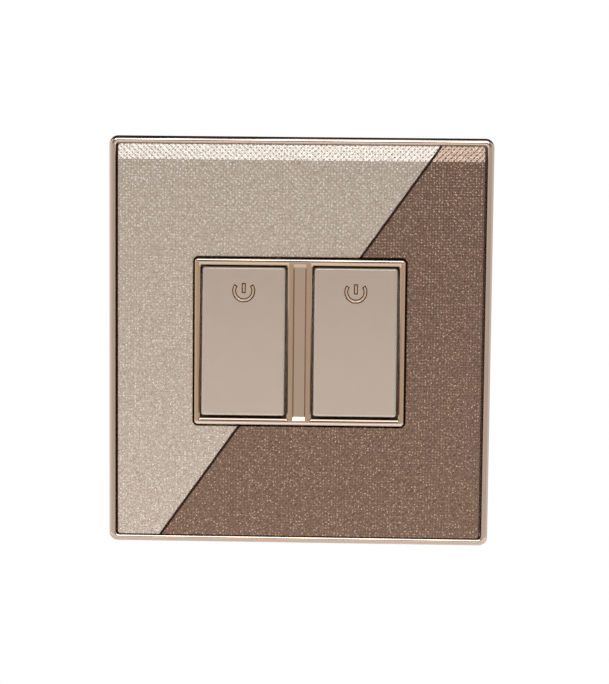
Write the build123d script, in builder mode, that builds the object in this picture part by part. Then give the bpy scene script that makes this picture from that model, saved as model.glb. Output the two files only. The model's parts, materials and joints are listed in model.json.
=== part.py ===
"""Two-gang rocker light switch on a wall plate, as a working assembly.

X runs to the right, Z up, and the front faces -Y. The origin is the middle of the wall plane.
Heights are measured from the wall towards the room, so a negative height lies in the wall box.
"""

import os
from math import atan2, cos, degrees, hypot, radians, sin

from build123d import *

os.makedirs("parts", exist_ok=True)

# Wall plate and its plated rim
PLATE_W = 86.0
PLATE_H = 91.9
PLATE_CORNER = 2.0
RIM_W = 1.65
RIM_SINK = 0.3
RIM_OUTER_ROUND = 1.0
RIM_INNER_ROUND = 0.6
RIM_INNER_CORNER = 0.6
LEDGE_W = 1.2
LEDGE_T = 1.4

# Stack of layers, from the wall to the room
WEB_BACK = 1.0
WEB_T = 1.6
FLANGE_T = 1.2
BEZEL_FOOT_T = 1.2
BEZEL_FOOT_W = 1.2
COVER_LIFT = 0.2
COVER_T = 1.6
INLAY_T = 1.5
BEZEL_PROUD = 0.7
KEY_PROUD = 1.1

# Inlays and their shadow gaps
INLAY_SIDE_GAP = 0.45
INLAY_END_GAP = 0.15
INLAY_CORNER = 0.6
INLAY_EDGE = 0.12
SEAM_GAP = 0.5
SEAM_TOP_X = 31.2
BEZEL_GAP = 0.4
BEVEL_W = 3.4
BEVEL_DROP = 0.8

# Bezel and windows
GANG_PITCH = 25.1
WINDOW_W = 19.6
WINDOW_H = 34.3
WINDOW_CORNER = 0.3
BEZEL_SIDE = 1.25
BEZEL_END = 1.6
BEZEL_CORNER = 0.8
BEZEL_ROUND = 0.4
CROWN_W = 0.6
CROWN_DROP = 0.07
EASE_W = 0.25
EASE_DROP = 0.03
LIP_SIDE = 0.3
LIP_END = 0.5
LIP_DROP = 0.15
LIP_EDGE = 0.1
CHANNEL_W = 2.8
CHANNEL_D = 0.3
CHANNEL_END = 1.1
CHANNEL_SLOPE = 0.75
CHANNEL_DRAFT = 0.15
LEG_W = 6.0
LEG_T = 0.9
LEG_BARB = 0.5
LEG_BARB_H = 0.9

# Rocker keys
KEY_SIDE_GAP = 0.5
KEY_END_GAP = 0.5
KEY_CORNER = 0.55
KEY_EDGE = 0.5
KEY_WALL = 1.4
KEY_TOP = 1.6
KEY_SKIRT = 3.6
KEY_RISE = 4.5
KEY_TILT = 4.0
CLIP_W = 5.0
CLIP_T = 1.2
CLIP_BARB = 0.5

# Pivoting cradle under each key
CRADLE_L = 22.0
CRADLE_T = 1.2
HUB_L = 5.6
HUB_DROP = 2.2
PIVOT_R = 1.2
PIVOT_CLEAR = 0.05
TUBE_R = 2.6
TUBE_DROP = 8.0
BORE_TOP = 0.8
GUSSET_T = 1.2
GUSSET_L = 7.0

# Plunger and spring
PLUNGER_R = 1.5
PLUNGER_L = 7.0
PLUNGER_CLEAR = 0.05
TIP_GAP = 0.14
WIRE_R = 0.22
WIRE_FLATS = 8
SPRING_SLACK = 0.08
SPRING_TURNS = 5

# Contact lever and contacts
LEVER_DROP = 12.6
LEVER_TILT = 7.0
LEVER_W = 4.0
LEVER_L = 20.0
LEVER_T = 0.7
LEVER_CORNER = 0.8
BEAD_R = 0.9
BEAD_CLEAR = 0.05
CONTACT_S = 8.0
CONTACT_R = 1.5
CONTACT_T = 0.9
CONTACT_ROUND = 0.35
CONTACT_GAP = 0.06
FIXED_T = 0.8

# Brass terminals and their screws
STRIP_T = 0.8
STRIP_WAIST = 2.2
SEAT_L = 3.6
EAR_T = 1.0
EAR_GAP = 0.3
EAR_RISE = 0.2
BLOCK_W = 6.0
BLOCK_L = 6.0
BLOCK_D = 6.5
BLOCK_Z = 13.0
BLOCK_EDGE = 0.3
WIRE_BORE_R = 1.6
WIRE_DEPTH = 2.6
WIRE_ENTRY_R = 2.0
SCREW_R = 1.4
SCREW_CLEAR = 0.1
SCREW_TIP_GAP = 0.15
SCREW_SHANK = 3.2
SCREW_HEAD_R = 1.9
SCREW_HEAD_T = 1.8
SCREW_SLOT = 0.6

# Moulded housing
CHAMBER_W = 9.0
CHAMBER_SIDE = 0.3
CHEEK = 1.6
END_WALL = 1.4
REAR_WALL = 1.5
WELL_SPACE = 1.5
TERMINAL_FIT = 0.1
HOUSING_CORNER = 1.0
HOUSING_EDGE = 0.6
CORE_WEB = 1.2
FLANGE_LAP = 2.0
ACCESS_R = 2.3
TOWER_L = 5.2
TOWER_RISE = 1.6
TOWER_MOUTH = 2.0
STOP_GAP = 0.05
STOP_L = 2.3
POST_W = 0.9
POST_L = 1.5
POST_S = 8.8
WEDGE_L = 10.0
WEDGE_W = 1.0
WEDGE_H = 1.6

# Mounting frame and the hooks of the cover
MOUNT_FIT = 0.4
MOUNT_WALL = 1.2
OPENING_FIT = 0.35
RIB_T = 1.4
RIB_OFFSET = 1.3
RIB_PITCH = 14.0
RIB_THIN = 1.0
FIX_SPACING = 60.3
FIX_SLOT_R = 2.1
FIX_SLOT_L = 7.0
BOSS_W = 12.5
BOSS_H = 9.0
COVER_FIT = 0.1
COVER_WINDOW_GAP = 0.6
HOOK_X = 20.0
HOOK_Z = 36.0
HOOK_W = 7.0
HOOK_T = 1.3
HOOK_BARB = 0.6
HOOK_TIP = 0.2
HOOK_FIT = 0.3
SNAP_GAP = 0.05

# Heights that follow from the stack
web_front = WEB_BACK + WEB_T
deck = web_front + FLANGE_T
cover_back = deck + BEZEL_FOOT_T + COVER_LIFT
cover_front = cover_back + COVER_T
inlay_face = cover_front + INLAY_T
rim_crown = inlay_face - RIM_SINK
bezel_crown = inlay_face + BEZEL_PROUD
ledge_back = cover_back - LEDGE_T
pivot_h = bezel_crown + KEY_PROUD - KEY_RISE
lever_h = pivot_h - LEVER_DROP

# Front view sizes that follow
gang_x = GANG_PITCH / 2
rim_inner_w = PLATE_W - 2 * RIM_W
rim_inner_h = PLATE_H - 2 * RIM_W
inlay_w = rim_inner_w - 2 * INLAY_SIDE_GAP
inlay_h = rim_inner_h - 2 * INLAY_END_GAP
bezel_w = GANG_PITCH + WINDOW_W + 2 * BEZEL_SIDE
bezel_h = WINDOW_H + 2 * BEZEL_END
key_w = WINDOW_W - 2 * KEY_SIDE_GAP
key_h = WINDOW_H - 2 * KEY_END_GAP
cradle_w = CHAMBER_W - 2 * CHAMBER_SIDE

# Mechanism sizes that follow
key_turn = radians(KEY_TILT)
lever_turn = radians(LEVER_TILT)
key_ceiling = KEY_RISE - KEY_TOP
skirt_low = KEY_RISE - KEY_SKIRT
plate_low = key_ceiling - CRADLE_T
tip_reach = LEVER_DROP - BEAD_R - TIP_GAP
bore_r = PLUNGER_R + PLUNGER_CLEAR
lever_back = BEAD_R - LEVER_T
button_face = CONTACT_T - lever_back
fixed_face = lever_h - button_face * cos(lever_turn) - (CONTACT_S + CONTACT_R) * sin(lever_turn) - CONTACT_GAP
strip_top = fixed_face - FIXED_T
floor_h = strip_top - STRIP_T
wire_h = floor_h - WIRE_DEPTH
block_back = floor_h - BLOCK_D
well_back = block_back - WELL_SPACE
housing_back = well_back - REAR_WALL
key_stop = pivot_h + skirt_low * cos(key_turn) - key_h / 2 * sin(key_turn) - STOP_GAP
post_top = lever_h + lever_back * cos(lever_turn) - (POST_S + POST_L / 2) * sin(lever_turn) - STOP_GAP

# Housing outline that follows
chamber_h = 2 * (BLOCK_Z + BLOCK_L / 2 + TERMINAL_FIT)
housing_w = GANG_PITCH + CHAMBER_W + 2 * CHEEK
housing_h = chamber_h + 2 * END_WALL
opening_w = housing_w + 2 * OPENING_FIT
opening_h = bezel_h + 2 * (LEG_BARB + OPENING_FIT)
flange_w = bezel_w + 2 * BEZEL_FOOT_W
flange_h = opening_h + 2 * FLANGE_LAP

GANGS = (("left", -gang_x), ("right", gang_x))
BOTH = (-1, 1)


def front(height):
    """Plane that faces the room, at a height above the wall."""
    return Plane.XZ.offset(height)


def side(x):
    """Plane that faces +X: its x runs into the wall and its y runs up."""
    return Plane(origin=(x, 0, 0), x_dir=(0, 1, 0), z_dir=(1, 0, 0))


def key_plane(x):
    """Plane of a key at rest, centred on its pivot: the top end is tilted in."""
    return Plane(origin=(x, -pivot_h, 0), x_dir=(1, 0, 0), z_dir=(0, -cos(key_turn), sin(key_turn)))


def key_side(x):
    """Plane across a key at its pivot: its x runs out along the key's own normal."""
    return Plane(origin=(x, -pivot_h, 0), x_dir=(0, -cos(key_turn), sin(key_turn)), z_dir=(1, 0, 0))


def lever_plane(x):
    """Plane of a contact lever at rest, centred on its bead: the lower arm is tilted in."""
    return Plane(origin=(x, -lever_h, 0), x_dir=(1, 0, 0), z_dir=(0, -cos(lever_turn), -sin(lever_turn)))


def lever_side(x):
    """Plane across a contact lever at its bead."""
    return Plane(origin=(x, -lever_h, 0), x_dir=(0, -cos(lever_turn), -sin(lever_turn)), z_dir=(1, 0, 0))


def finish(builder, name):
    """Label a finished piece and write it out."""
    builder.part.label = name
    export_step(builder.part, f"parts/{name}.step")


# Plated rim, with a rounded crown and an inner ledge for the cover plate
with BuildPart() as trim_frame:
    with BuildSketch(front(0)):
        RectangleRounded(PLATE_W, PLATE_H, PLATE_CORNER)
        RectangleRounded(rim_inner_w, rim_inner_h, RIM_INNER_CORNER, mode=Mode.SUBTRACT)
    extrude(amount=rim_crown)
    fillet(trim_frame.faces().sort_by(Axis.Y)[0].outer_wire().edges(), RIM_OUTER_ROUND)
    fillet(trim_frame.faces().sort_by(Axis.Y)[0].inner_wires()[0].edges(), RIM_INNER_ROUND)
    with BuildSketch(front(ledge_back)):
        RectangleRounded(rim_inner_w + RIM_W, rim_inner_h + RIM_W, RIM_INNER_CORNER)
        Rectangle(rim_inner_w - 2 * LEDGE_W, rim_inner_h - 2 * LEDGE_W, mode=Mode.SUBTRACT)
    extrude(amount=LEDGE_T)
finish(trim_frame, "trim_frame")

# Moulded cover plate behind the inlays, with four snap hooks
with BuildPart() as cover_plate:
    with BuildSketch(front(cover_back)):
        RectangleRounded(rim_inner_w - 2 * COVER_FIT, rim_inner_h - 2 * COVER_FIT, RIM_INNER_CORNER)
        Rectangle(bezel_w + 2 * COVER_WINDOW_GAP, bezel_h + 2 * COVER_WINDOW_GAP, mode=Mode.SUBTRACT)
    extrude(amount=COVER_T)
    for end in BOTH:
        for hook_x in (-HOOK_X, HOOK_X):
            with BuildSketch(side(hook_x)):
                with BuildLine():
                    Polyline(
                        (-cover_back, end * HOOK_Z),
                        (-HOOK_TIP, end * HOOK_Z),
                        (-HOOK_TIP, end * (HOOK_Z + HOOK_T)),
                        (-(WEB_BACK - SNAP_GAP), end * (HOOK_Z + HOOK_T + HOOK_BARB)),
                        (-(WEB_BACK - SNAP_GAP), end * (HOOK_Z + HOOK_T)),
                        (-cover_back, end * (HOOK_Z + HOOK_T)),
                        close=True,
                    )
                make_face()
            extrude(amount=HOOK_W / 2, both=True)
finish(cover_plate, "cover_plate")

# Two inlays, parted by a diagonal seam, with a bevel along the top edge
seam_angle = degrees(atan2(inlay_h / 2, SEAM_TOP_X))
seam_run = hypot(inlay_h / 2, SEAM_TOP_X)
bevel_slope = BEVEL_DROP / BEVEL_W
for name, half, edge in (("inlay_light", 1, Align.MIN), ("inlay_dark", -1, Align.MAX)):
    with BuildPart() as inlay:
        with BuildSketch(front(cover_front)):
            RectangleRounded(inlay_w, inlay_h, INLAY_CORNER)
            RectangleRounded(
                bezel_w + 2 * BEZEL_GAP,
                bezel_h + 2 * BEZEL_GAP,
                BEZEL_CORNER + BEZEL_GAP,
                mode=Mode.SUBTRACT,
            )
            shift = half * SEAM_GAP / 2
            with Locations((-shift * inlay_h / 2 / seam_run, shift * SEAM_TOP_X / seam_run)):
                Rectangle(
                    2 * PLATE_H,
                    2 * PLATE_H,
                    rotation=seam_angle,
                    align=(Align.CENTER, edge),
                    mode=Mode.INTERSECT,
                )
        extrude(amount=INLAY_T)
        chamfer(inlay.faces().sort_by(Axis.Y)[0].edges(), INLAY_EDGE)
        with BuildSketch(side(0)):
            with BuildLine():
                Polyline(
                    (-inlay_face, inlay_h / 2 - BEVEL_W),
                    (-inlay_face + 2 * BEVEL_DROP, inlay_h / 2 - BEVEL_W + 2 * BEVEL_DROP / bevel_slope),
                    (-inlay_face - BEVEL_DROP, inlay_h / 2 - BEVEL_W + 2 * BEVEL_DROP / bevel_slope),
                    (-inlay_face - BEVEL_DROP, inlay_h / 2 - BEVEL_W),
                    close=True,
                )
            make_face()
        extrude(amount=PLATE_W, both=True, mode=Mode.SUBTRACT)
    finish(inlay, name)

# Plated bezel: crowned bars, sloped lips round two windows, a sunk channel and four snap legs
with BuildPart() as bezel:
    with BuildSketch(front(deck)):
        RectangleRounded(bezel_w, bezel_h, BEZEL_CORNER)
        with Locations((-gang_x, 0), (gang_x, 0)):
            RectangleRounded(WINDOW_W, WINDOW_H, WINDOW_CORNER, mode=Mode.SUBTRACT)
    extrude(amount=bezel_crown - deck)
    crown = bezel.faces().sort_by(Axis.Y)[0]
    chamfer(crown.outer_wire().edges(), CROWN_W, CROWN_DROP, reference=crown)
    crown_edge = CROWN_DROP - bezel_crown
    fillet(bezel.edges().filter_by_position(Axis.Y, crown_edge, crown_edge), BEZEL_ROUND)
    lip_top = bezel_crown - EASE_DROP
    lip_foot = lip_top - LIP_DROP
    lip_w = WINDOW_W + 2 * LIP_SIDE
    lip_h = WINDOW_H + 2 * LIP_END
    for window_x in (-gang_x, gang_x):
        for low, high, low_w, low_h, side_step, end_step in (
            (lip_top, bezel_crown, lip_w, lip_h, EASE_W, EASE_W),
            (lip_foot, lip_top, WINDOW_W, WINDOW_H, LIP_SIDE, LIP_END),
        ):
            with BuildSketch(front(low)):
                with Locations((window_x, 0)):
                    RectangleRounded(low_w, low_h, WINDOW_CORNER)
            with BuildSketch(front(high)):
                with Locations((window_x, 0)):
                    RectangleRounded(low_w + 2 * side_step, low_h + 2 * end_step, WINDOW_CORNER)
            loft(mode=Mode.SUBTRACT)
    fillet(bezel.edges().filter_by_position(Axis.Y, -lip_foot, -lip_foot), LIP_EDGE)
    channel_l = bezel_h - 2 * CHANNEL_END
    with BuildSketch(front(bezel_crown - CHANNEL_D)):
        Rectangle(CHANNEL_W - 2 * CHANNEL_DRAFT, channel_l - 2 * CHANNEL_SLOPE)
    with BuildSketch(front(bezel_crown)):
        Rectangle(CHANNEL_W, channel_l)
    loft(mode=Mode.SUBTRACT)
    with BuildSketch(front(deck)):
        RectangleRounded(flange_w, bezel_h + 2 * BEZEL_FOOT_W, BEZEL_CORNER + BEZEL_FOOT_W)
        RectangleRounded(bezel_w - BEZEL_SIDE, bezel_h - BEZEL_SIDE, BEZEL_CORNER, mode=Mode.SUBTRACT)
    extrude(amount=BEZEL_FOOT_T)
    for end in BOTH:
        for leg_x in (-gang_x, gang_x):
            leg_low = web_front - SNAP_GAP - LEG_BARB_H
            with BuildSketch(side(leg_x)):
                with BuildLine():
                    Polyline(
                        (-deck - BEZEL_FOOT_T, end * bezel_h / 2),
                        (-web_front + SNAP_GAP, end * bezel_h / 2),
                        (-web_front + SNAP_GAP, end * (bezel_h / 2 + LEG_BARB)),
                        (-leg_low, end * bezel_h / 2),
                        (-leg_low, end * (bezel_h / 2 - LEG_T)),
                        (-deck - BEZEL_FOOT_T, end * (bezel_h / 2 - LEG_T)),
                        close=True,
                    )
                make_face()
            extrude(amount=LEG_W / 2, both=True)
finish(bezel, "bezel")

# Mounting frame: a web with a deep edge wall, ribs, bosses and the slotted fixing holes
with BuildPart() as mounting_frame:
    mount_w = rim_inner_w - 2 * MOUNT_FIT
    mount_h = rim_inner_h - 2 * MOUNT_FIT
    with BuildSketch(front(WEB_BACK)):
        RectangleRounded(mount_w, mount_h, RIM_INNER_CORNER)
        Rectangle(opening_w, opening_h, mode=Mode.SUBTRACT)
        with GridLocations(2 * HOOK_X, 2 * HOOK_Z + HOOK_T + HOOK_BARB, 2, 2):
            Rectangle(HOOK_W + 2 * HOOK_FIT, HOOK_T + HOOK_BARB + 2 * HOOK_FIT, mode=Mode.SUBTRACT)
    extrude(amount=WEB_T)
    with BuildSketch(front(0)):
        RectangleRounded(mount_w, mount_h, RIM_INNER_CORNER)
        Rectangle(mount_w - 2 * MOUNT_WALL, mount_h - 2 * MOUNT_WALL, mode=Mode.SUBTRACT)
    extrude(amount=ledge_back)
    with BuildSketch(front(0)):
        Rectangle(opening_w + 2 * (RIB_OFFSET + RIB_T), opening_h + 2 * (RIB_OFFSET + RIB_T))
        Rectangle(opening_w + 2 * RIB_OFFSET, opening_h + 2 * RIB_OFFSET, mode=Mode.SUBTRACT)
        with GridLocations(FIX_SPACING, 0, 2, 1):
            RectangleRounded(BOSS_W, BOSS_H, FIX_SLOT_R)
        end_rib = (mount_h - opening_h) / 2 - RIB_OFFSET
        side_rib = (mount_w - opening_w) / 2 - RIB_OFFSET
        with GridLocations(RIB_PITCH, mount_h - end_rib, 2, 2):
            Rectangle(RIB_THIN, end_rib)
        with GridLocations(mount_w - side_rib, 2 * RIB_PITCH, 2, 2):
            Rectangle(side_rib, RIB_THIN)
    extrude(amount=WEB_BACK)
    with BuildSketch(front(0)):
        with GridLocations(FIX_SPACING, 0, 2, 1):
            SlotOverall(FIX_SLOT_L, 2 * FIX_SLOT_R)
    extrude(amount=web_front, mode=Mode.SUBTRACT)
finish(mounting_frame, "mounting_frame")

# Moulded housing: two chambers, terminal wells, snap bearings, stops and a cored back
with BuildPart() as housing:
    with BuildSketch(front(housing_back)):
        RectangleRounded(housing_w, housing_h, HOUSING_CORNER)
    extrude(amount=deck - housing_back)
    chamfer(housing.faces().sort_by(Axis.Y)[-1].edges(), HOUSING_EDGE)
    with BuildSketch(front(web_front)):
        RectangleRounded(flange_w, flange_h, HOUSING_CORNER)
        with GridLocations(GANG_PITCH, bezel_h - LEG_T, 2, 2):
            Rectangle(LEG_W + 2 * HOOK_FIT, LEG_T + 2 * TERMINAL_FIT, mode=Mode.SUBTRACT)
    extrude(amount=FLANGE_T)
    with BuildSketch(front(floor_h)):
        with GridLocations(GANG_PITCH, 0, 2, 1):
            Rectangle(CHAMBER_W, chamber_h)
    extrude(amount=deck - floor_h, mode=Mode.SUBTRACT)
    with BuildSketch(front(well_back)):
        with GridLocations(GANG_PITCH, 2 * BLOCK_Z, 2, 2):
            Rectangle(BLOCK_W + 2 * TERMINAL_FIT, BLOCK_L + 2 * TERMINAL_FIT)
    extrude(amount=floor_h - well_back, mode=Mode.SUBTRACT)
    with BuildSketch(front(housing_back)):
        with GridLocations(GANG_PITCH, 2 * BLOCK_Z, 2, 2):
            Circle(ACCESS_R)
    extrude(amount=REAR_WALL, mode=Mode.SUBTRACT)
    for end in BOTH:
        with BuildSketch(Plane.XY.offset(end * chamber_h / 2)):
            with Locations((-gang_x, -wire_h), (gang_x, -wire_h)):
                Circle(WIRE_ENTRY_R)
        extrude(amount=end * END_WALL, mode=Mode.SUBTRACT)
    core_w = (GANG_PITCH - CHAMBER_W - 2 * CHEEK - CORE_WEB) / 2
    with BuildSketch(front(housing_back)):
        with GridLocations(core_w + CORE_WEB, 0, 2, 1):
            Rectangle(core_w, chamber_h)
    extrude(amount=web_front - housing_back, mode=Mode.SUBTRACT)
    for x in (-gang_x, gang_x):
        for hand in BOTH:
            tower_x = x + hand * (CHAMBER_W + CHEEK) / 2
            with BuildSketch(side(tower_x)):
                with Locations((-deck, 0)):
                    Rectangle(pivot_h + TOWER_RISE - deck, TOWER_L, align=(Align.MAX, Align.CENTER))
            extrude(amount=CHEEK / 2, both=True)
            with BuildSketch(side(tower_x)):
                with Locations((-pivot_h, 0)):
                    Circle(PIVOT_R + PIVOT_CLEAR)
                    Rectangle(2 * TOWER_RISE, TOWER_MOUTH, align=(Align.MAX, Align.CENTER))
            extrude(amount=CHEEK / 2, both=True, mode=Mode.SUBTRACT)
            with BuildSketch(front(deck)):
                with Locations((tower_x, 0)):
                    with GridLocations(0, chamber_h - STOP_L, 1, 2):
                        Rectangle(CHEEK, STOP_L)
            extrude(amount=key_stop - deck)
            with BuildSketch(front(floor_h)):
                with Locations((x + hand * (LEVER_W - POST_W) / 2, -POST_S)):
                    Rectangle(POST_W, POST_L)
            extrude(amount=post_top - floor_h)
    for hand in BOTH:
        wedge_top = WEB_BACK - SNAP_GAP
        with BuildSketch(Plane.XY):
            with BuildLine():
                Polyline(
                    (hand * (housing_w / 2 - CHEEK / 2), -wedge_top),
                    (hand * (housing_w / 2 + WEDGE_W), -wedge_top),
                    (hand * housing_w / 2, -wedge_top + WEDGE_H),
                    (hand * (housing_w / 2 - CHEEK / 2), -wedge_top + WEDGE_H),
                    close=True,
                )
            make_face()
        extrude(amount=WEDGE_L / 2, both=True)
finish(housing, "housing")

# Both gangs: key, cradle, plunger, spring, lever, contacts and terminals
for hand, x in GANGS:
    normal = Axis(key_plane(x).origin, key_plane(x).z_dir)

    # Key: a shallow cap with soft edges and two clips for the cradle
    with BuildPart() as key:
        with BuildSketch(key_plane(x).offset(skirt_low)):
            RectangleRounded(key_w, key_h, KEY_CORNER)
        extrude(amount=KEY_SKIRT)
        fillet(key.faces().sort_by(normal)[-1].edges(), KEY_EDGE)
        with BuildSketch(key_plane(x).offset(skirt_low)):
            Rectangle(key_w - 2 * KEY_WALL, key_h - 2 * KEY_WALL)
        extrude(amount=KEY_SKIRT - KEY_TOP, mode=Mode.SUBTRACT)
        for end in BOTH:
            clip_in = CRADLE_L / 2 + SNAP_GAP
            with BuildSketch(key_side(x)):
                with BuildLine():
                    Polyline(
                        (key_ceiling + KEY_TOP / 2, end * clip_in),
                        (plate_low - SNAP_GAP, end * clip_in),
                        (plate_low - SNAP_GAP, end * (clip_in - CLIP_BARB)),
                        (skirt_low, end * clip_in),
                        (skirt_low, end * (clip_in + CLIP_T)),
                        (key_ceiling + KEY_TOP / 2, end * (clip_in + CLIP_T)),
                        close=True,
                    )
                make_face()
            extrude(amount=CLIP_W / 2, both=True)
    finish(key, f"rocker_{hand}")

    # Cradle: a plate under the key, pivot stubs, and a gusseted tube for the plunger
    with BuildPart() as cradle:
        with BuildSketch(key_plane(x).offset(plate_low)):
            RectangleRounded(cradle_w, CRADLE_L, KEY_CORNER)
        extrude(amount=CRADLE_T)
        with BuildSketch(key_plane(x).offset(-HUB_DROP)):
            RectangleRounded(cradle_w, HUB_L, KEY_CORNER)
        extrude(amount=plate_low + HUB_DROP)
        with BuildSketch(key_plane(x).offset(-TUBE_DROP)):
            Circle(TUBE_R)
        extrude(amount=plate_low + TUBE_DROP)
        with BuildSketch(key_side(x)):
            with BuildLine():
                Polyline(
                    (plate_low + CRADLE_T / 2, GUSSET_L),
                    (plate_low, GUSSET_L),
                    (-TUBE_DROP / 2, TUBE_R / 2),
                    (-TUBE_DROP / 2, -TUBE_R / 2),
                    (plate_low, -GUSSET_L),
                    (plate_low + CRADLE_T / 2, -GUSSET_L),
                    close=True,
                )
            make_face()
        extrude(amount=GUSSET_T / 2, both=True)
        with BuildSketch(key_side(x)):
            Circle(PIVOT_R)
        extrude(amount=CHAMBER_W / 2 + CHEEK - TERMINAL_FIT, both=True)
        with BuildSketch(key_plane(x).offset(-TUBE_DROP)):
            Circle(bore_r)
        extrude(amount=TUBE_DROP + BORE_TOP, mode=Mode.SUBTRACT)
    finish(cradle, f"rocker_cradle_{hand}")

    # Plunger: a turned pin with a round nose
    with BuildPart() as plunger:
        with BuildSketch(key_side(x)):
            with BuildLine():
                nose = CenterArc((-tip_reach + PLUNGER_R, 0), PLUNGER_R, 90, 90)
                Polyline(nose @ 1, (-tip_reach + PLUNGER_L, 0), (-tip_reach + PLUNGER_L, PLUNGER_R), nose @ 0)
            make_face()
        revolve(axis=normal)
    finish(plunger, f"plunger_{hand}")

    # Coil spring between the plunger and the end of its bore, its wire drawn with few flats
    with BuildPart() as spring:
        coil_low = -tip_reach + PLUNGER_L + WIRE_R + SPRING_SLACK
        coil_high = BORE_TOP - WIRE_R - SPRING_SLACK
        coil_r = PLUNGER_R - WIRE_R - SPRING_SLACK
        coil_start = key_plane(x).from_local_coords((0, 0, coil_low))
        with BuildLine() as coil:
            Helix(
                pitch=(coil_high - coil_low) / SPRING_TURNS,
                height=coil_high - coil_low,
                radius=coil_r,
                center=coil_start,
                direction=key_plane(x).z_dir,
            )
        with BuildSketch(Plane(origin=coil.line @ 0, z_dir=coil.line % 0)):
            RegularPolygon(WIRE_R, WIRE_FLATS)
        sweep(path=coil.line, is_frenet=True)
    finish(spring, f"plunger_spring_{hand}")

    # Contact lever: a seesaw strip with a cross bead that rests in the terminal's ears
    with BuildPart() as lever:
        with BuildSketch(lever_plane(x).offset(lever_back)):
            RectangleRounded(LEVER_W, LEVER_L, LEVER_CORNER)
        extrude(amount=LEVER_T)
        with BuildSketch(lever_side(x)):
            Circle(BEAD_R)
        extrude(amount=LEVER_W / 2 + EAR_GAP + EAR_T, both=True)
    finish(lever, f"contact_lever_{hand}")

    # Silver button under the lever's upper arm
    with BuildPart() as moving_contact:
        with BuildSketch(lever_plane(x).offset(lever_back)):
            with Locations((0, CONTACT_S)):
                Circle(CONTACT_R)
        extrude(amount=-CONTACT_T)
        lever_normal = Axis(lever_plane(x).origin, lever_plane(x).z_dir)
        fillet(moving_contact.faces().sort_by(lever_normal)[0].edges(), CONTACT_ROUND)
    finish(moving_contact, f"moving_contact_{hand}")

    # Silver button on the load terminal
    with BuildPart() as fixed_contact:
        with BuildSketch(front(strip_top)):
            with Locations((x, CONTACT_S)):
                Circle(CONTACT_R)
        extrude(amount=FIXED_T)
    finish(fixed_contact, f"fixed_contact_{hand}")

    # Terminals: a block with a wire bore and a screw hole, and a strip on the chamber floor
    for name, end in (("common", -1), ("load", 1)):
        block_out = BLOCK_Z + BLOCK_L / 2
        block_in = BLOCK_Z - BLOCK_L / 2
        with BuildPart() as terminal:
            with BuildSketch(front(block_back)):
                with Locations((x, end * BLOCK_Z)):
                    RectangleRounded(BLOCK_W, BLOCK_L, BLOCK_EDGE)
            extrude(amount=strip_top - block_back)
            with BuildSketch(front(floor_h)):
                if name == "load":
                    with Locations((x, block_out)):
                        Rectangle(
                            BLOCK_W,
                            block_out - CONTACT_S + CONTACT_R + BLOCK_EDGE,
                            align=(Align.CENTER, Align.MAX),
                        )
                else:
                    with Locations((x, -block_in - BLOCK_L / 2)):
                        Rectangle(STRIP_WAIST, block_in + BLOCK_L / 2, align=(Align.CENTER, Align.MIN))
                    with Locations((x, 0)):
                        Rectangle(LEVER_W + 2 * (EAR_GAP + EAR_T), SEAT_L)
            extrude(amount=STRIP_T)
            if name == "common":
                for ear in BOTH:
                    ear_x = x + ear * (LEVER_W / 2 + EAR_GAP + EAR_T / 2)
                    with BuildSketch(side(ear_x)):
                        with Locations((-floor_h, 0)):
                            Rectangle(lever_h + EAR_RISE - floor_h, SEAT_L, align=(Align.MAX, Align.CENTER))
                        with Locations((-lever_h, 0)):
                            Circle(BEAD_R + BEAD_CLEAR, mode=Mode.SUBTRACT)
                            Rectangle(
                                2 * BEAD_R,
                                2 * (BEAD_R + BEAD_CLEAR),
                                align=(Align.MAX, Align.CENTER),
                                mode=Mode.SUBTRACT,
                            )
                    extrude(amount=EAR_T / 2, both=True)
            with BuildSketch(Plane.XY.offset(end * block_out)):
                with Locations((x, -wire_h)):
                    Circle(WIRE_BORE_R)
            extrude(amount=-end * BLOCK_L, mode=Mode.SUBTRACT)
            with BuildSketch(front(block_back)):
                with Locations((x, end * BLOCK_Z)):
                    Circle(SCREW_R + SCREW_CLEAR)
            extrude(amount=wire_h - block_back, mode=Mode.SUBTRACT)
        finish(terminal, f"{name}_terminal_{hand}")

# Four clamp screws, backed out so that the wire bores are clear
with BuildPart() as terminal_screws:
    screw_tip = wire_h - WIRE_BORE_R - SCREW_TIP_GAP
    head_front = screw_tip - SCREW_SHANK
    with BuildSketch(front(head_front)):
        with GridLocations(GANG_PITCH, 2 * BLOCK_Z, 2, 2):
            Circle(SCREW_R)
    extrude(amount=SCREW_SHANK)
    with BuildSketch(front(head_front)):
        with GridLocations(GANG_PITCH, 2 * BLOCK_Z, 2, 2):
            Circle(SCREW_HEAD_R)
    extrude(amount=-SCREW_HEAD_T)
    with BuildSketch(front(head_front - SCREW_HEAD_T)):
        with GridLocations(GANG_PITCH, 2 * BLOCK_Z, 2, 2):
            Rectangle(2 * SCREW_HEAD_R, SCREW_SLOT)
    extrude(amount=SCREW_HEAD_T / 2, mode=Mode.SUBTRACT)
finish(terminal_screws, "terminal_screws")
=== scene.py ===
"""Looks of the two-gang rocker switch: finishes, the power signs on the keys, studio light and camera."""

import json
import math

import bpy
from mathutils import Matrix, Vector

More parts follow.
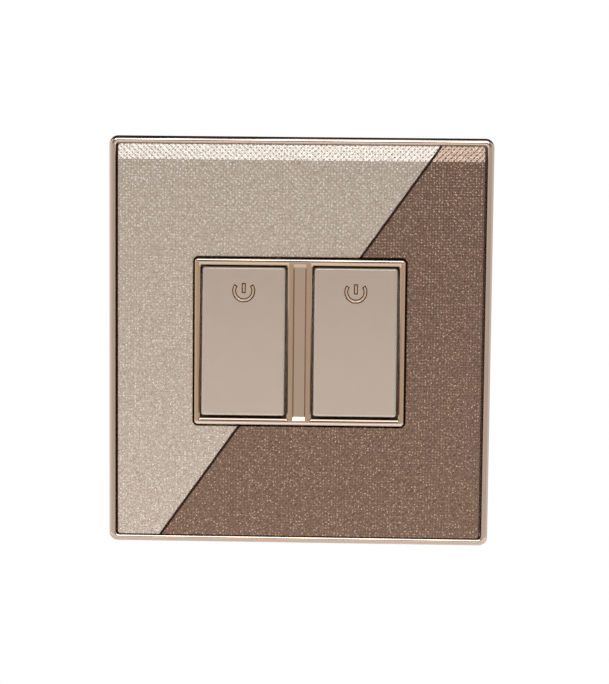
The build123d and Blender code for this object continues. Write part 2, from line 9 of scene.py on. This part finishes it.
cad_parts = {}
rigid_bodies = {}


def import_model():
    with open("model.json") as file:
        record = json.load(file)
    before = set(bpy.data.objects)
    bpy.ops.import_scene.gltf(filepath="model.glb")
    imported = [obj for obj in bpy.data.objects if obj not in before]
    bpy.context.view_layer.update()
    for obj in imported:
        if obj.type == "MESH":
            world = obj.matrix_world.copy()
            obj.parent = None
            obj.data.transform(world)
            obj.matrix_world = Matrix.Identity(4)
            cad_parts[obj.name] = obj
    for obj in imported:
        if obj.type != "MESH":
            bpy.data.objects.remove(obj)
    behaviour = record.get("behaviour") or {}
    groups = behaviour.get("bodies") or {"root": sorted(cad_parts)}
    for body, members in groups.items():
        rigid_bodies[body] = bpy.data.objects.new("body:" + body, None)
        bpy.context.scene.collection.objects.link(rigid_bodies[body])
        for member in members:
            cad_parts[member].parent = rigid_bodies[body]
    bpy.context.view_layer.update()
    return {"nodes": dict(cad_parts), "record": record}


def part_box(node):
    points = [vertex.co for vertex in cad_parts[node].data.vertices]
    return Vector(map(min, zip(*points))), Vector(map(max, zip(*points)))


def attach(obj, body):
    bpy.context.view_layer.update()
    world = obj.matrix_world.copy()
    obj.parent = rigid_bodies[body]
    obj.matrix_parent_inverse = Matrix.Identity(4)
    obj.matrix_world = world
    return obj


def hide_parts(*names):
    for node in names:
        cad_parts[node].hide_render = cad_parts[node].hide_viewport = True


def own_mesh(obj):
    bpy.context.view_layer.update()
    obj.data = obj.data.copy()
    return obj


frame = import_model()
nodes = frame["nodes"]
scene = bpy.context.scene

MM = 0.001

# Camera, fitted to the plate's rim, gaps and windows in the photograph
PHOTO_H = 684
FOCAL_PX = 2001.0
CAMERA_DISTANCE = 0.450
CAMERA_AZIMUTH = math.radians(1.65)
CAMERA_ELEVATION = math.radians(5.83)
CAMERA_ROLL = math.radians(0.55)
CAMERA_TARGET = Vector((1.13, -8.0, 0.08)) * MM
SENSOR = 36.0
CLIP_START = 0.01

# Film, in millimetres: two trains of fine waves cross at 45 degrees, with flakes between them
WAVE_PITCH = 0.89
WAVE_SWAY = 0.5
FLAKE_SCALE = 1.5

# Bezel, in millimetres from its middle: the channel in the mullion and the windows on both sides of it
CHANNEL_HALF_W = 1.34
CHANNEL_HALF_H = 16.8
WINDOW_INNER = 2.75
WINDOW_OUTER = 22.35
WINDOW_END = 17.15

# Keys: the paint gives way to a dark brown painted shade on the key's sides between these depths below the
# face, in millimetres
KEY_SHADE_START = 0.7
KEY_SHADE_FULL = 1.2

# Studio light
KEY_ELEVATION = math.radians(30)
KEY_DISTANCE = 2.0
KEY_SIZE = (1.45, 0.62)
KEY_POWER = 13.5
KEY_COLOUR = (1.0, 0.985, 0.965)
LOW_PLACE = Vector((-0.045, -0.16, -0.17))
LOW_SIZE = (0.40, 0.16)
LOW_POWER = 0.45
LOW_COLOUR = (1.0, 0.97, 0.945)
BACK_PLACE = Vector((0.6, 1.7, 0.9))
BACK_SIZE = (1.6, 1.2)
BACK_POWER = 28.0
BACK_COLOUR = (1.0, 1.0, 1.0)
WORLD_FILL = 0.20

# Floor
FLOOR_Z = -0.30
FLOOR_RADIUS = 0.9
FLOOR_SIDES = 64
FLOOR_FADE = (0.35 * FLOOR_RADIUS, 0.85 * FLOOR_RADIUS)
FLOOR_COLOUR = (0.9, 0.9, 0.9, 1.0)
FLOOR_GLOW = 0.1

# Power signs
SIGN_RADIUS = 2.14 * MM
SIGN_STROKE = 0.42 * MM
SIGN_SHADE_WIDTH = 0.88 * MM
SIGN_LIP = 0.06 * MM
SIGN_LIFT = 0.004 * MM
SIGN_GAP = math.radians(54)
SIGN_DROP = 5.38 * MM
SIGN_BAR_TOP = 1.74 * MM
SIGN_BAR_FOOT = -0.53 * MM
SIGN_STEPS = 64
SIGN_BAR_STEPS = 10
SIGN_ACROSS = 9


def srgb(red, green, blue):
    """A colour given as screen values from 0 to 255, as a linear RGBA tuple."""
    share = [c / 255 for c in (red, green, blue)]
    return tuple(c / 12.92 if c <= 0.04045 else ((c + 0.055) / 1.055) ** 2.4 for c in share) + (1.0,)


def empty_tree(owner):
    """The cleared shader tree of a material or world."""
    owner.use_nodes = True
    owner.node_tree.nodes.clear()
    return owner.node_tree


def add(tree, kind, inputs=None, **settings):
    """Add a shader node. Inputs maps a socket's name or number to a value or another socket."""
    made = tree.nodes.new("ShaderNode" + kind)
    for key, value in settings.items():
        setattr(made, key, value)
    for key, value in (inputs or {}).items():
        if isinstance(value, bpy.types.NodeSocket):
            tree.links.new(value, made.inputs[key])
        else:
            made.inputs[key].default_value = value
    return made


def calc(tree, operation, a, b=0.0, c=0.0):
    """One step of arithmetic on sockets or numbers."""
    return add(tree, "Math", {0: a, 1: b, 2: c}, operation=operation).outputs[0]


def product(tree, first, *others):
    """The product of several sockets or numbers."""
    for other in others:
        first = calc(tree, "MULTIPLY", first, other)
    return first


def ramp(tree, value, low, high, to_low=0.0, to_high=1.0):
    """A smooth step from to_low to to_high as value goes from low to high."""
    inputs = {"Value": value, "From Min": low, "From Max": high, "To Min": to_low, "To Max": to_high}
    return add(tree, "MapRange", inputs, interpolation_type="SMOOTHSTEP").outputs[0]


def band(tree, value, start, full, fade, end):
    """One where value lies between full and fade, and zero before start and past end."""
    return product(tree, ramp(tree, value, start, full), ramp(tree, value, fade, end, 1.0, 0.0))


def dim(tree, level, share, loss):
    """A level that loses a part of itself where share is one."""
    return product(tree, level, calc(tree, "MULTIPLY_ADD", share, -loss, 1.0))


def blend_colours(tree, share, first, second):
    """Mix two colours."""
    return add(tree, "Mix", {0: share, 6: first, 7: second}, data_type="RGBA").outputs[2]


def place(tree):
    """Position on the part at rest, in millimetres, so that a pattern moves with its piece."""
    coords = add(tree, "TexCoord").outputs["Object"]
    return add(tree, "VectorMath", {0: coords, 3: 1 / MM}, operation="SCALE").outputs[0]


def noise(tree, where, scale, detail=2.0, rough=0.5):
    """Noise with about one blob in each 1/scale millimetres."""
    inputs = {"Vector": where, "Scale": scale, "Detail": detail, "Roughness": rough}
    return add(tree, "TexNoise", inputs).outputs["Fac"]


def bump(tree, height, depth):
    """Normals of a height pattern that is depth millimetres deep."""
    return add(tree, "Bump", {"Height": height, "Distance": depth * MM, "Strength": 1.0}).outputs[0]


def surface(name, **sockets):
    """A new material with one Principled surface, returned with its tree and shader."""
    material = bpy.data.materials.new(name)
    tree = empty_tree(material)
    shader = add(tree, "BsdfPrincipled")
    tree.links.new(shader.outputs[0], add(tree, "OutputMaterial").inputs["Surface"])
    for socket, value in sockets.items():
        shader.inputs[socket.replace("_", " ")].default_value = value
    return material, tree, shader


def feed(tree, shader, **sockets):
    """Link patterns to the surface's sockets."""
    for socket, value in sockets.items():
        tree.links.new(value, shader.inputs[socket.replace("_", " ")])


def plating(name, dark, light, painted_light=None):
    """Polished rose-gold electroplate, faintly wavy. Painted light, if given, paints shade and paler or
    dimmer reflections onto it by place.
    """
    material, tree, shader = surface(name, Metallic=1.0)
    where = place(tree)
    colour = blend_colours(tree, noise(tree, where, 0.25), dark, light)
    if painted_light:
        colour = painted_light(tree, where, colour)
    feed(
        tree,
        shader,
        Base_Color=colour,
        Roughness=ramp(tree, noise(tree, where, 3.0, 4.0), 0.3, 0.7, 0.06, 0.12),
        Normal=bump(tree, noise(tree, where, 0.9, 1.0), 0.004),
    )
    return material


def bezel_painted_light(tree, where, colour):
    """Painted light on the bezel's plating: a pale channel bed with painted shade along its edges, painted
    reflections on the outer bars and window lips, and painted shade at the lips and the foot.
    """
    x, y, z = add(tree, "SeparateXYZ", {0: where}).outputs
    off_middle = calc(tree, "ABSOLUTE", x)
    off_level = calc(tree, "ABSOLUTE", z)

    # The channel has a pale bed, and brown lines painted along its edges as painted shade
    bed = ramp(tree, off_middle, CHANNEL_HALF_W - 0.2, CHANNEL_HALF_W, 0.6, 0.0)
    off_edge = calc(tree, "ABSOLUTE", calc(tree, "SUBTRACT", off_middle, CHANNEL_HALF_W))
    inside = ramp(tree, off_level, CHANNEL_HALF_H - 0.3, CHANNEL_HALF_H, 1.0, 0.0)
    channel_shade = product(tree, ramp(tree, off_edge, 0.06, 0.2, 0.7, 0.0), inside)
    colour = blend_colours(tree, bed, colour, srgb(246, 218, 194))
    colour = blend_colours(tree, channel_shade, colour, srgb(120, 76, 44))

    # The bars over and under the windows are painted paler outside, a paler painted reflection
    outer_bar = ramp(tree, off_level, WINDOW_END + 0.6, WINDOW_END + 0.85)
    colour = blend_colours(tree, outer_bar, colour, srgb(255, 231, 213))

    # The lips at the windows' ends are painted duller below, a dimmer painted reflection, and painted dark
    # next to the keys as painted shade
    beside = band(tree, off_middle, WINDOW_INNER, WINDOW_INNER + 0.2, WINDOW_OUTER - 0.2, WINDOW_OUTER)
    below = ramp(tree, z, -WINDOW_END - 0.28, -WINDOW_END + 0.28, 1.0, 0.0)
    lip = ramp(tree, off_level, WINDOW_END + 0.5, WINDOW_END + 0.6, 1.0, 0.0)
    lip_shade = band(
        tree, off_level, WINDOW_END - 0.15, WINDOW_END - 0.1, WINDOW_END + 0.16, WINDOW_END + 0.28
    )
    colour = blend_colours(tree, product(tree, beside, below, lip), colour, srgb(136, 122, 112))
    colour = blend_colours(tree, product(tree, beside, lip_shade), colour, srgb(44, 26, 15))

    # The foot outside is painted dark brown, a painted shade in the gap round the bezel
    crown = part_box("bezel")[0].y / MM
    foot = ramp(tree, y, crown + 0.55, crown + 0.75)
    outer_side = ramp(tree, off_middle, WINDOW_OUTER + 0.6, WINDOW_OUTER + 0.85)
    gap_shade = product(tree, foot, calc(tree, "MAXIMUM", outer_bar, outer_side))
    return blend_colours(tree, gap_shade, colour, srgb(52, 29, 16))


def embossed_film(name, base, light, dot, glint_share, flake_glint, edge, tint, waves):
    """Satin film with bright flakes, embossed with two crossing trains of waves.

    Upward slopes catch the light, and pale dots are painted on them as glints. Downward slopes and the
    film's side edges are darkened as painted shade.
    """
    material, tree, shader = surface(
        name, Metallic=0.0, IOR=2.5, Specular_Tint=tint, Coat_Weight=0.1, Coat_Roughness=0.16, Coat_IOR=1.6
    )
    where = place(tree)

    # Two trains of waves that sway a little
    stray = add(tree, "TexNoise", {"Vector": where, "Scale": 1.1, "Detail": 2.0}).outputs["Color"]
    sway = {0: stray, 1: (WAVE_SWAY,) * 3, 2: where}
    swayed = add(tree, "VectorMath", sway, operation="MULTIPLY_ADD").outputs[0]
    across, _, along = add(tree, "SeparateXYZ", {0: swayed}).outputs
    turn = math.sqrt(2) * math.pi / WAVE_PITCH
    rise = product(tree, calc(tree, "ADD", across, along), turn)
    fall = product(tree, calc(tree, "SUBTRACT", across, along), turn)
    fall_depth, rise_depth = waves
    fall_height = calc(tree, "SINE", fall)
    height = calc(tree, "MULTIPLY_ADD", calc(tree, "SINE", rise), rise_depth / fall_depth, fall_height)
    slope = calc(tree, "SUBTRACT", calc(tree, "COSINE", fall), calc(tree, "COSINE", rise))

    # Mottled ground, painted shade on the downward slopes and pale dots painted as glints on the upward
    # ones
    patches = ramp(tree, noise(tree, where, 1.3, 3.0), 0.40, 0.62, 0.05, 1.0)
    glints = product(tree, ramp(tree, slope, 0.5, 1.6), patches)
    colour = blend_colours(tree, ramp(tree, noise(tree, where, 4.5, 3.0), 0.34, 0.66), base, light)
    # Painted shade on the downward slopes of the waves
    colour = blend_colours(tree, ramp(tree, slope, -1.8, -0.6, 0.22, 0.0), colour, edge)
    colour = blend_colours(tree, product(tree, glints, glint_share), colour, dot)

    # Flakes, each painted pale as a glint of its own: the flakes are part of the film, their sparkle is
    # painted
    flat = add(tree, "CombineXYZ", {0: across, 1: along}).outputs[0]
    cells = add(tree, "TexVoronoi", {"Vector": flat, "Scale": FLAKE_SCALE}, voronoi_dimensions="2D")
    chance = add(tree, "SeparateColor", {0: cells.outputs["Color"]}).outputs[0]
    spots = ramp(tree, cells.outputs["Distance"], 0.10, 0.28, 1.0, 0.0)
    colour = blend_colours(tree, product(tree, spots, ramp(tree, chance, 0.4, 1.0)), colour, flake_glint)

    # The film's side edges, painted dark as painted shade in the gaps and the seam
    facing = add(tree, "SeparateXYZ", {0: add(tree, "TexCoord").outputs["Normal"]}).outputs[1]
    side_shade = ramp(tree, calc(tree, "ABSOLUTE", facing), 0.5, 0.8, 1.0, 0.0)
    feed(
        tree,
        shader,
        Base_Color=blend_colours(tree, side_shade, colour, edge),
        Roughness=ramp(tree, noise(tree, where, 2.2), 0.3, 0.7, 0.20, 0.30),
        Normal=bump(tree, height, fall_depth),
    )
    return material


def key_paint():
    """Champagne metallic paint with a fine grain under a clear coat, with a dark brown painted shade on the
    key's sides below the face.
    """
    material, tree, shader = surface(
        "champagne_key", Metallic=0.1, Coat_Weight=1.0, Coat_Roughness=0.1, Coat_IOR=2.0
    )
    where = place(tree)
    out, _, top = key_face("rocker_left")
    level = top.dot(out) / MM
    depth = add(tree, "VectorMath", {0: where, 1: out}, operation="DOT_PRODUCT").outputs["Value"]
    # Painted shade on the key's sides, where they sink into the gap
    skirt_shade = ramp(tree, depth, level - KEY_SHADE_FULL, level - KEY_SHADE_START, 1.0, 0.0)
    grain = noise(tree, where, 9.0, 3.0)
    paint = blend_colours(tree, grain, srgb(197, 178, 161), srgb(205, 186, 169))
    feed(
        tree,
        shader,
        Base_Color=blend_colours(tree, skirt_shade, paint, srgb(118, 72, 40)),
        Roughness=ramp(tree, noise(tree, where, 0.5), 0.3, 0.7, 0.34, 0.42),
        Normal=bump(tree, grain, 0.002),
    )
    return material


def moulding(name, dark, light, rough=(0.42, 0.58), grain_depth=0.008):
    """Moulded plastic with a fine spark-eroded grain."""
    material, tree, shader = surface(name, Metallic=0.0, IOR=1.5)
    where = place(tree)
    grain = noise(tree, where, 6.0, 4.0, 0.6)
    feed(
        tree,
        shader,
        Base_Color=blend_colours(tree, noise(tree, where, 0.12, 3.0), dark, light),
        Roughness=ramp(tree, grain, 0.3, 0.7, *rough),
        Normal=bump(tree, grain, grain_depth),
    )
    return material


def metal(name, dark, light, rough, stretch=(1.0, 1.0, 1.0)):
    """Bare metal with fine drawn or rolled marks along the short side of stretch."""
    material, tree, shader = surface(name, Metallic=1.0)
    where = place(tree)
    drawn = add(tree, "VectorMath", {0: where, 1: stretch}, operation="MULTIPLY").outputs[0]
    marks = noise(tree, drawn, 4.0, 3.0)
    feed(
        tree,
        shader,
        Base_Color=blend_colours(tree, noise(tree, where, 0.6, 3.0), dark, light),
        Roughness=ramp(tree, marks, 0.3, 0.7, *rough),
        Normal=bump(tree, marks, 0.004),
    )
    return material


def sign_paint(name, dark, light, gloss, lacquer):
    """Foil of the power signs, or the dark painted groove shade round it, with or without a clear lacquer.
    """
    material, tree, shader = surface(
        name, Specular_IOR_Level=gloss, Coat_Weight=lacquer, Coat_Roughness=0.1, Coat_IOR=2.0
    )
    where = place(tree)
    feed(
        tree,
        shader,
        Base_Color=blend_colours(tree, noise(tree, where, 2.0), dark, light),
        Roughness=ramp(tree, noise(tree, where, 4.0), 0.3, 0.7, 0.28, 0.40),
    )
    return material


def finish_nodes():
    """Give every CAD node its finish. The rim's plating is paler than the bezel's."""
    rim_plating = plating("rim_plating", srgb(237, 210, 191), srgb(243, 218, 200))
    finishes = {
        "rose_plating": plating("bezel_plating", srgb(239, 201, 167), srgb(246, 210, 178), bezel_painted_light),
        "champagne_inlay": embossed_film(
            "champagne_film",
            base=srgb(164, 143, 125),
            light=srgb(210, 190, 171),
            dot=srgb(246, 236, 222),
            glint_share=0.85,
            flake_glint=srgb(255, 250, 240),
            edge=srgb(84, 54, 36),
            tint=(1.0, 0.99, 0.97, 1.0),
            waves=(0.017, 0.014),
        ),
        "bronze_inlay": embossed_film(
            "bronze_film",
            base=srgb(70, 43, 29),
            light=srgb(104, 70, 50),
            dot=srgb(208, 174, 150),
            glint_share=0.55,
            flake_glint=srgb(218, 188, 165),
            edge=srgb(68, 43, 29),
            tint=(1.0, 0.77, 0.62, 1.0),
            waves=(0.020, 0.012),
        ),
        "champagne_key": key_paint(),
        "dark_moulding": moulding("dark_moulding", srgb(78, 49, 33), srgb(92, 61, 43)),
        "ivory_moulding": moulding("ivory_moulding", srgb(226, 222, 211), srgb(236, 233, 223)),
        "nylon": moulding("nylon", srgb(220, 217, 205), srgb(232, 229, 218), (0.35, 0.5), 0.004),
        "brass": metal("brass", srgb(196, 158, 84), srgb(222, 186, 112), (0.2, 0.34), (1.0, 1.0, 0.08)),
        "silver": metal("silver", srgb(206, 205, 200), srgb(226, 225, 220), (0.2, 0.32)),
        "spring_steel": metal("spring_steel", srgb(150, 150, 152), srgb(178, 178, 180), (0.18, 0.3)),
        "zinc_steel": metal("zinc_steel", srgb(184, 186, 186), srgb(206, 204, 192), (0.24, 0.4)),
    }
    for part in frame["record"]["subparts"]:
        piece = nodes[part["node"]]
        piece.data.materials.clear()
        piece.data.materials.append(finishes[part["material_slot"]])
    nodes["trim_frame"].data.materials[0] = rim_plating


def key_face(node):
    """The flat face of a key: its outward normal, its up direction and the middle of its top edge."""
    mesh = nodes[node].data
    largest = max((p for p in mesh.polygons if p.normal.y < -0.9), key=lambda p: p.area)
    out = largest.normal.normalized()
    up = out.cross(Vector((1, 0, 0)))
    low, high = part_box(node)
    middle = Vector(((low.x + high.x) / 2, 0, 0))
    top = max(v.co.dot(up) for v in mesh.vertices)
    return out, up, middle + up * top + out * mesh.vertices[largest.vertices[0]].co.dot(out)


def ribbon(spine, across, out, width, lift, lip):
    """Rows of points of a ribbon along a spine: its edges stand higher than its middle by lip."""
    rows = []
    for point, side in zip(spine, across):
        row = []
        for i in range(SIGN_ACROSS):
            share = 2 * i / (SIGN_ACROSS - 1) - 1
            row.append(point + side * (share * width / 2) + out * (lift + lip * share * share))
        rows.append(row)
    return rows


def power_sign(name, node, body, materials):
    """A broken ring with a bar in its gap, near the top of a key: a wider strip of painted groove shade
    with a hollowed foil on it.
    """
    out, up, top = key_face(node)
    right = Vector((1, 0, 0))
    centre = top - up * SIGN_DROP
    points, faces, finishes = [], [], []
    # The first layer is the brown painted groove shade, the second the foil
    layers = ((SIGN_SHADE_WIDTH, SIGN_LIFT, 0.0), (SIGN_STROKE, 2 * SIGN_LIFT, SIGN_LIP))
    for finish, (width, lift, lip) in enumerate(layers):
        inset = (SIGN_SHADE_WIDTH - width) / 2
        start_turn = SIGN_GAP + inset / SIGN_RADIUS
        span = 2 * (math.pi - start_turn)
        turns = [start_turn + span * i / SIGN_STEPS for i in range(SIGN_STEPS + 1)]
        spokes = [right * math.sin(t) + up * math.cos(t) for t in turns]
        ring = [centre + s * SIGN_RADIUS for s in spokes]
        foot, head = SIGN_BAR_FOOT + inset, SIGN_BAR_TOP - inset
        heights = [foot + (head - foot) * i / SIGN_BAR_STEPS for i in range(SIGN_BAR_STEPS + 1)]
        bar = [centre + up * h for h in heights]
        for spine, across in ((ring, spokes), (bar, [right] * len(bar))):
            rows = ribbon(spine, across, out, width, lift, lip)
            start = len(points)
            for row in rows:
                points += row
            for r in range(len(rows) - 1):
                for c in range(SIGN_ACROSS - 1):
                    a = start + r * SIGN_ACROSS + c
                    faces.append((a, a + 1, a + SIGN_ACROSS + 1, a + SIGN_ACROSS))
                    finishes.append(finish)
    mesh = bpy.data.meshes.new(name)
    mesh.from_pydata(points, [], faces)
    for material in materials:
        mesh.materials.append(material)
    for face, finish in zip(mesh.polygons, finishes):
        face.material_index = finish
    mesh.update()
    for face in mesh.polygons:
        if face.normal.dot(out) < 0:
            face.flip()
    mesh.update()
    mesh.shade_smooth()
    piece = bpy.data.objects.new(name, mesh)
    scene.collection.objects.link(piece)
    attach(piece, body)


def print_signs():
    """A power sign on each key: a brown strip of painted groove shade round a champagne foil."""
    finishes = [
        # The brown strip is painted shade of the sign's groove walls
        sign_paint("sign_groove_shade", srgb(62, 24, 3), srgb(78, 34, 8), 0.05, 0.0),
        sign_paint("sign_foil", srgb(202, 170, 138), srgb(216, 184, 152), 0.5, 1.0),
    ]
    for hand in ("left", "right"):
        power_sign(f"power_sign_{hand}", f"rocker_{hand}", f"rocker_{hand}", finishes)


def shorten_springs():
    """Each plunger's coil spring is copied into a piece of its own that rides with the joint's parent, and
    the original is hidden.
    """
    for joint in frame["record"]["behaviour"]["joints"]:
        for spring in joint.get("deforming_nodes", []):
            node = spring["node"]
            piece = bpy.data.objects.new(f"{node}_coil", nodes[node].data.copy())
            scene.collection.objects.link(piece)
            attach(piece, joint["parent"])
            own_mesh(piece)
            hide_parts(node)


def lamp(name, place_at, size, power, colour):
    """A rectangular soft lamp that faces the plate."""
    data = bpy.data.lights.new(name, "AREA")
    data.shape = "RECTANGLE"
    data.size, data.size_y = size
    data.energy = power
    data.color = colour
    made = bpy.data.objects.new(name, data)
    made.location = place_at
    made.rotation_euler = (-place_at).to_track_quat("-Z", "Y").to_euler()
    made.visible_camera = False
    scene.collection.objects.link(made)
    return made


def light_studio():
    """A soft lamp above the camera, and a low one and one behind that no mirror surface shows."""
    key_place = Vector((0, -math.cos(KEY_ELEVATION), math.sin(KEY_ELEVATION))) * KEY_DISTANCE
    lamp("key_lamp", key_place, KEY_SIZE, KEY_POWER, KEY_COLOUR)
    low_lamp = lamp("low_lamp", LOW_PLACE, LOW_SIZE, LOW_POWER, LOW_COLOUR)
    back_lamp = lamp("back_lamp", BACK_PLACE, BACK_SIZE, BACK_POWER, BACK_COLOUR)
    for made in (low_lamp, back_lamp):
        made.visible_glossy = False


def ray_kinds(tree):
    """Whether a ray comes from the camera, and whether it comes from a mirror or clear surface."""
    path = add(tree, "LightPath")
    mirror = calc(tree, "MAXIMUM", path.outputs["Is Glossy Ray"], path.outputs["Is Transmission Ray"])
    return path.outputs["Is Camera Ray"], mirror


def mirrored_room(tree):
    """Brightness of the room that mirror surfaces show, by the direction from the plate."""
    generated = add(tree, "TexCoord").outputs["Generated"]
    side, depth, above = add(tree, "SeparateXYZ", {0: generated}).outputs
    ahead = calc(tree, "MULTIPLY", depth, -1.0)
    behind = ramp(tree, ahead, -0.1, 0.12, 1.0, 0.0)

    # Walls, dimmer ahead of the plate, round the camera and on the right
    room = product(
        tree,
        ramp(tree, ahead, 0.2, 0.7, 0.72, 0.5),
        ramp(tree, ahead, 0.93, 0.985, 1.0, 0.86),
        ramp(tree, side, 0.2, 0.7, 1.0, 0.86),
    )

    # A dark beam above the camera
    beam = product(tree, band(tree, above, 0.03, 0.07, 0.29, 0.33), ramp(tree, ahead, 0.75, 0.90))
    room = dim(tree, room, beam, 0.88)

    # A ceiling that is dark apart from its right part ahead of the plate
    lit = product(tree, ramp(tree, side, -0.065, -0.02), ramp(tree, ahead, 0.38, 0.46))
    overhead = calc(tree, "MULTIPLY_ADD", lit, 0.94, 0.06)
    ceiling = ramp(tree, above, 0.62, 0.67)
    room = calc(tree, "MULTIPLY_ADD", ceiling, calc(tree, "SUBTRACT", overhead, room), room)

    # Dark above the plate's back, pale below the plate, and dimmer there behind it
    room = dim(tree, room, product(tree, ramp(tree, above, 0.25, 0.5), behind), 0.92)
    low_level = ramp(tree, above, -0.36, -0.08, 0.93, 0.3)
    low = product(tree, low_level, ramp(tree, above, -0.1, -0.05, 1.0, 0.0))
    room = calc(tree, "MAXIMUM", room, low)
    return dim(tree, room, product(tree, ramp(tree, above, -0.5, -0.25, 1.0, 0.0), behind), 0.65)


def light_world():
    """White for the camera, a soft fill for matt surfaces, and a room for mirror surfaces to show."""
    world = bpy.data.worlds.new("studio")
    scene.world = world
    tree = empty_tree(world)
    room = mirrored_room(tree)
    camera, mirror = ray_kinds(tree)
    level = calc(tree, "MULTIPLY_ADD", mirror, calc(tree, "SUBTRACT", room, WORLD_FILL), WORLD_FILL)
    level = calc(tree, "MAXIMUM", level, camera)
    background = add(tree, "Background", {"Color": (1.0, 1.0, 1.0, 1.0), "Strength": level})
    tree.links.new(background.outputs[0], add(tree, "OutputWorld").inputs["Surface"])


def lay_floor():
    """A pale round floor under the plate that fades into the white background."""
    turns = [2 * math.pi * i / FLOOR_SIDES for i in range(FLOOR_SIDES)]
    rim = [(FLOOR_RADIUS * math.cos(t), FLOOR_RADIUS * math.sin(t), FLOOR_Z) for t in turns]
    mesh = bpy.data.meshes.new("floor")
    mesh.from_pydata(rim, [], [range(FLOOR_SIDES)])
    floor = bpy.data.objects.new("floor", mesh)
    scene.collection.objects.link(floor)
    material = bpy.data.materials.new("floor")
    tree = empty_tree(material)
    where = add(tree, "TexCoord").outputs["Object"]
    flat = add(tree, "VectorMath", {0: where, 1: (1.0, 1.0, 0.0)}, operation="MULTIPLY").outputs[0]
    reach = add(tree, "VectorMath", {0: flat}, operation="LENGTH").outputs["Value"]
    seen = calc(tree, "MAXIMUM", *ray_kinds(tree))
    pale = add(tree, "BsdfDiffuse", {"Color": FLOOR_COLOUR})
    glow = add(tree, "Emission", {"Strength": product(tree, seen, FLOOR_GLOW)})
    lit = add(tree, "AddShader", {0: pale.outputs[0], 1: glow.outputs[0]})
    clear = add(tree, "BsdfTransparent")
    fade = ramp(tree, reach, *FLOOR_FADE)
    mixed = add(tree, "MixShader", {0: fade, 1: lit.outputs[0], 2: clear.outputs[0]})
    tree.links.new(mixed.outputs[0], add(tree, "OutputMaterial").inputs["Surface"])
    mesh.materials.append(material)


def set_camera():
    """The photograph's camera: a long lens a little above the middle of the plate, slightly rolled."""
    back = Vector((
        math.sin(CAMERA_AZIMUTH) * math.cos(CAMERA_ELEVATION),
        -math.cos(CAMERA_AZIMUTH) * math.cos(CAMERA_ELEVATION),
        math.sin(CAMERA_ELEVATION),
    ))
    level = Vector((0, 0, 1)).cross(back).normalized()
    upright = back.cross(level)
    right = level * math.cos(CAMERA_ROLL) + upright * math.sin(CAMERA_ROLL)
    up = back.cross(right)
    data = bpy.data.cameras.new("camera")
    data.sensor_width = SENSOR
    data.lens = FOCAL_PX * SENSOR / PHOTO_H
    data.clip_start = CLIP_START
    camera = bpy.data.objects.new("camera", data)
    turn = Matrix((right, up, back)).transposed().to_4x4()
    camera.matrix_world = Matrix.Translation(CAMERA_TARGET + back * CAMERA_DISTANCE) @ turn
    scene.collection.objects.link(camera)
    scene.camera = camera


finish_nodes()
print_signs()
shorten_springs()
light_studio()
light_world()
lay_floor()
set_camera()
scene.view_settings.view_transform = "Standard"
